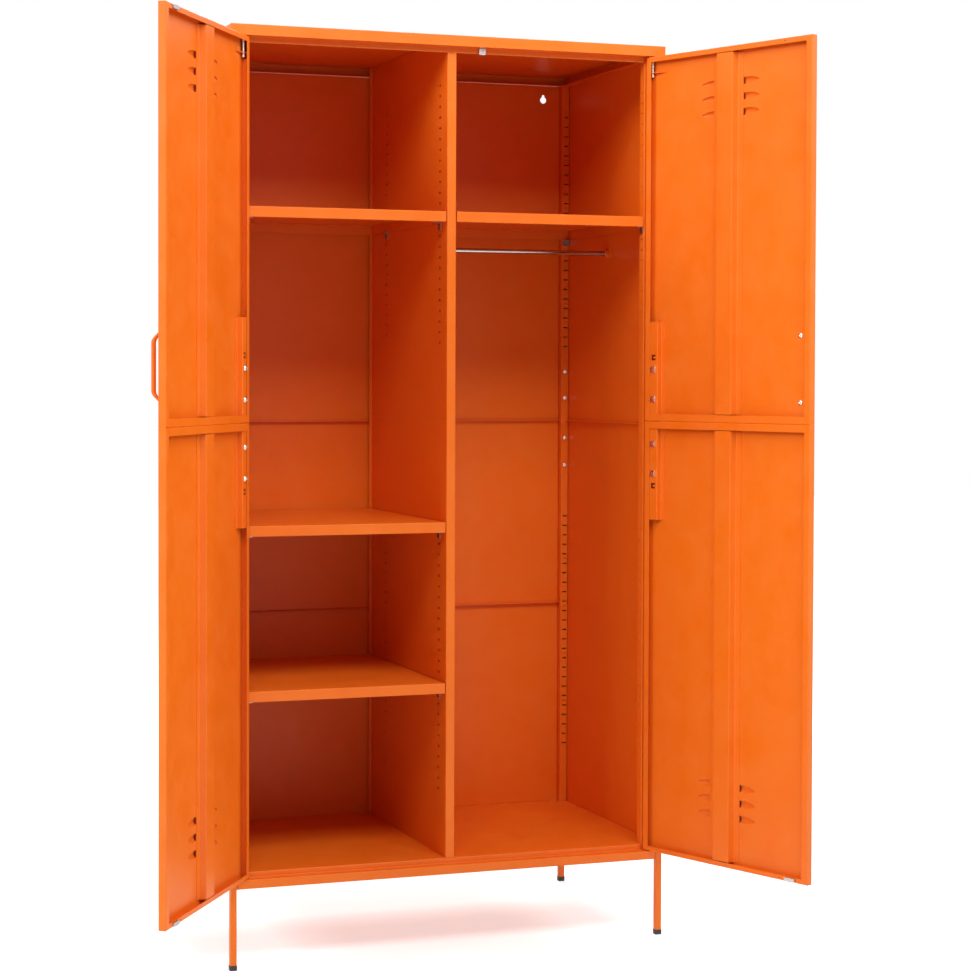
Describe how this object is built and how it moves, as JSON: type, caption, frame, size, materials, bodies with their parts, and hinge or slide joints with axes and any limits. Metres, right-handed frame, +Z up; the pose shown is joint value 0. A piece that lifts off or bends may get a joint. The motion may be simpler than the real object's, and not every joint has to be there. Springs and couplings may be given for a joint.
{
  "type": "school locker",
  "caption": "Tall sheet-steel school locker on legs: a double cupboard with a divider, shelves, a hanging rail and louvred doors that swing on sprung top pins.",
  "frame": {"origin": "on the floor, at the middle of the floor area that the cabinet and its open doors cover", "axes": "+Z up, the cabinet faces -Y, +X towards the cupboard's right-hand side seen from the front"},
  "size_m": [1.1914, 0.8708, 1.7],
  "materials": {
    "orange_coat": "satin powder coat",
    "zinc_steel": "bright zinc plated",
    "zinc_plate": "zinc plated",
    "rail_steel": "plated tube",
    "magnet": "nickel plated",
    "black_cap": "moulded, fine grain",
    "bush": "moulded"
  },
  "bodies": {
    "cabinet": {"back_panel_lower": "orange_coat", "back_panel_middle": "orange_coat", "back_panel_upper": "orange_coat", "bottom_panel": "orange_coat", "divider_joint_insert": "zinc_plate", "divider_lower": "orange_coat", "divider_upper": "orange_coat", "door_catch": "magnet", "frame_joint_bolts": "zinc_steel", "front_joint_plates": "zinc_plate", "front_left_cap": "black_cap", "front_left_leg": "orange_coat", "front_right_cap": "black_cap", "front_right_leg": "orange_coat", "hanging_rail": "rail_steel", "left_shelf_bottom": "orange_coat", "left_shelf_middle": "orange_coat", "left_shelf_top": "orange_coat", "left_side_lower": "orange_coat", "left_side_upper": "orange_coat", "leg_screws": "zinc_steel", "pivot_bushes": "bush", "rail_sockets": "orange_coat", "rear_joint_channels": "zinc_plate", "rear_left_cap": "black_cap", "rear_left_leg": "orange_coat", "rear_right_cap": "black_cap", "rear_right_leg": "orange_coat", "right_shelf": "orange_coat", "right_side_lower": "orange_coat", "right_side_upper": "orange_coat", "shelf_clips": "zinc_plate", "top_panel": "orange_coat"},
    "left_door": {"left_door_upper": "orange_coat", "left_door_lower": "orange_coat", "left_stiffener_upper": "orange_coat", "left_stiffener_lower": "orange_coat", "left_joint_channel": "orange_coat", "left_joint_bolts": "zinc_steel", "left_handle": "orange_coat", "left_handle_screws": "zinc_steel", "left_door_magnets": "magnet", "left_top_bracket": "orange_coat", "left_pin_spring": "zinc_steel", "left_bottom_pin": "zinc_steel"},
    "left_top_pin": {"left_top_pin": "zinc_steel"},
    "right_door": {"right_door_upper": "orange_coat", "right_door_lower": "orange_coat", "right_stiffener_upper": "orange_coat", "right_stiffener_lower": "orange_coat", "right_joint_channel": "orange_coat", "right_joint_bolts": "zinc_steel", "right_handle": "orange_coat", "right_handle_screws": "zinc_steel", "right_door_magnets": "magnet", "right_top_bracket": "orange_coat", "right_pin_spring": "zinc_steel", "right_bottom_pin": "zinc_steel"},
    "right_top_pin": {"right_top_pin": "zinc_steel"}
  },
  "joints": [
    {"name": "left_door_hinge", "type": "hinge", "parent": "cabinet", "child": "left_door", "pos_m": [-0.36672, -0.06032, 0.92], "axis": [0, 0, -1], "range_deg": [-123.8, 6.2]},
    {"name": "right_door_hinge", "type": "hinge", "parent": "cabinet", "child": "right_door", "pos_m": [0.43468, -0.06032, 0.92], "axis": [0, 0, 1], "range_deg": [-111.3, 18.7]},
    {"name": "left_top_pin_slide", "type": "slide", "parent": "left_door", "child": "left_top_pin", "axis": [0, 0, -1], "range_m": [0, 0.006], "stiffness_N_per_m": 300},
    {"name": "right_top_pin_slide", "type": "slide", "parent": "right_door", "child": "right_top_pin", "axis": [0, 0, -1], "range_m": [0, 0.006], "stiffness_N_per_m": 300}
  ]
}
